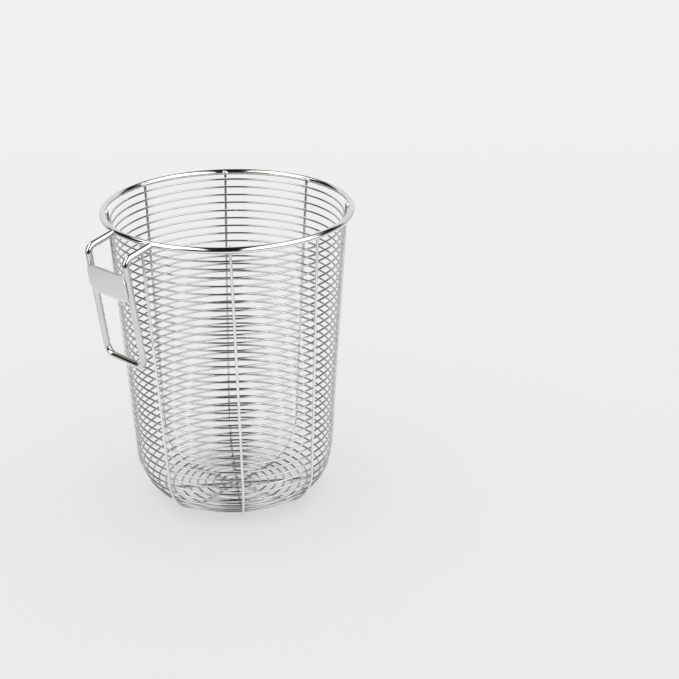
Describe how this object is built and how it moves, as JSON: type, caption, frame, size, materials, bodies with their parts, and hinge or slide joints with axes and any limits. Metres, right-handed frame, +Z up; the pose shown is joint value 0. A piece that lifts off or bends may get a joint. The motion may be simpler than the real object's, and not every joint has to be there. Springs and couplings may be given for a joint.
{
  "type": "wire basket strainer",
  "caption": "Deep tapered basket strainer of round steel wire, with a heavy rim, closely spaced hoops, ribs that run under the flat base and a hook handle with a small plate.",
  "frame": {"origin": "middle of the base, on the plane that the ribs stand on", "axes": "+Z up along the basket's axis; the handle is on the -Y side, symmetric about X = 0"},
  "size_m": [0.156, 0.1742, 0.192],
  "materials": {
    "rim_wire": "polished stainless steel wire",
    "hoop_wire": "bright drawn stainless steel wire",
    "rib_wire": "bright drawn stainless steel wire",
    "handle_wire": "polished stainless steel wire",
    "plate_sheet": "satin stainless steel sheet"
  },
  "bodies": {
    "root": {"rim_ring": "rim_wire", "hoop_01": "hoop_wire", "hoop_02": "hoop_wire", "hoop_03": "hoop_wire", "hoop_04": "hoop_wire", "hoop_05": "hoop_wire", "hoop_06": "hoop_wire", "hoop_07": "hoop_wire", "hoop_08": "hoop_wire", "hoop_09": "hoop_wire", "hoop_10": "hoop_wire", "hoop_11": "hoop_wire", "hoop_12": "hoop_wire", "hoop_13": "hoop_wire", "hoop_14": "hoop_wire", "hoop_15": "hoop_wire", "hoop_16": "hoop_wire", "hoop_17": "hoop_wire", "hoop_18": "hoop_wire", "hoop_19": "hoop_wire", "hoop_20": "hoop_wire", "hoop_21": "hoop_wire", "hoop_22": "hoop_wire", "hoop_23": "hoop_wire", "hoop_24": "hoop_wire", "hoop_25": "hoop_wire", "hoop_26": "hoop_wire", "hoop_27": "hoop_wire", "hoop_28": "hoop_wire", "hoop_29": "hoop_wire", "hoop_30": "hoop_wire", "hoop_31": "hoop_wire", "hoop_32": "hoop_wire", "hoop_33": "hoop_wire", "hoop_34": "hoop_wire", "hoop_35": "hoop_wire", "hoop_36": "hoop_wire", "hoop_37": "hoop_wire", "hoop_38": "hoop_wire", "hoop_39": "hoop_wire", "hoop_40": "hoop_wire", "hoop_41": "hoop_wire", "hoop_42": "hoop_wire", "hoop_43": "hoop_wire", "hoop_44": "hoop_wire", "hoop_45": "hoop_wire", "rib_through": "rib_wire", "rib_1": "rib_wire", "rib_2": "rib_wire", "rib_3": "rib_wire", "rib_5": "rib_wire", "rib_6": "rib_wire", "rib_7": "rib_wire", "hook_handle": "handle_wire", "handle_plate": "plate_sheet"}
  },
  "joints": []
}
